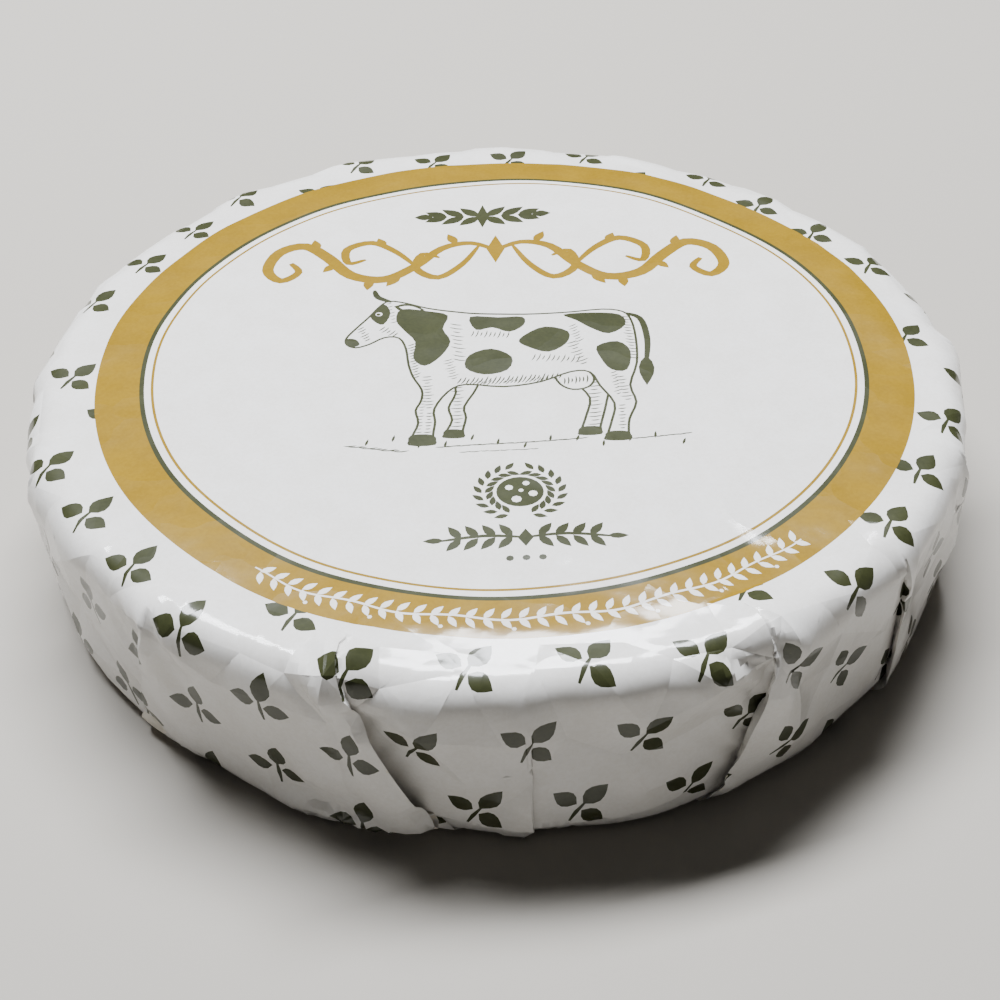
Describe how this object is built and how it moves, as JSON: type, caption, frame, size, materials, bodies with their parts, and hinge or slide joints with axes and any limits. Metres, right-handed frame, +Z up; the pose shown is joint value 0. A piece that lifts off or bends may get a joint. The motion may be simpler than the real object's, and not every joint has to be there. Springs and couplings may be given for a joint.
{
  "type": "cheese wheel in a wrapper",
  "caption": "Flat round wheel of soft-ripened cheese wrapped in a sheet of printed paper, pleated down its side and folded in under it.",
  "frame": {"origin": "middle of the underside, on the surface that the wrapped wheel stands on", "axes": "+Z up along the wheel's round axis; +Y towards the top of the printed picture, -Y towards the reader"},
  "size_m": [0.203, 0.203, 0.04],
  "materials": {
    "bloomy_rind": "matt white mould rind, velvety, with a cream tone showing through",
    "wrapping_paper": "white film-laminated wrapping paper with a gloss, printed in gold and dark olive green, creased and pleated"
  },
  "bodies": {
    "root": {"cheese_wheel": "bloomy_rind", "wrapper": "wrapping_paper"}
  },
  "joints": []
}
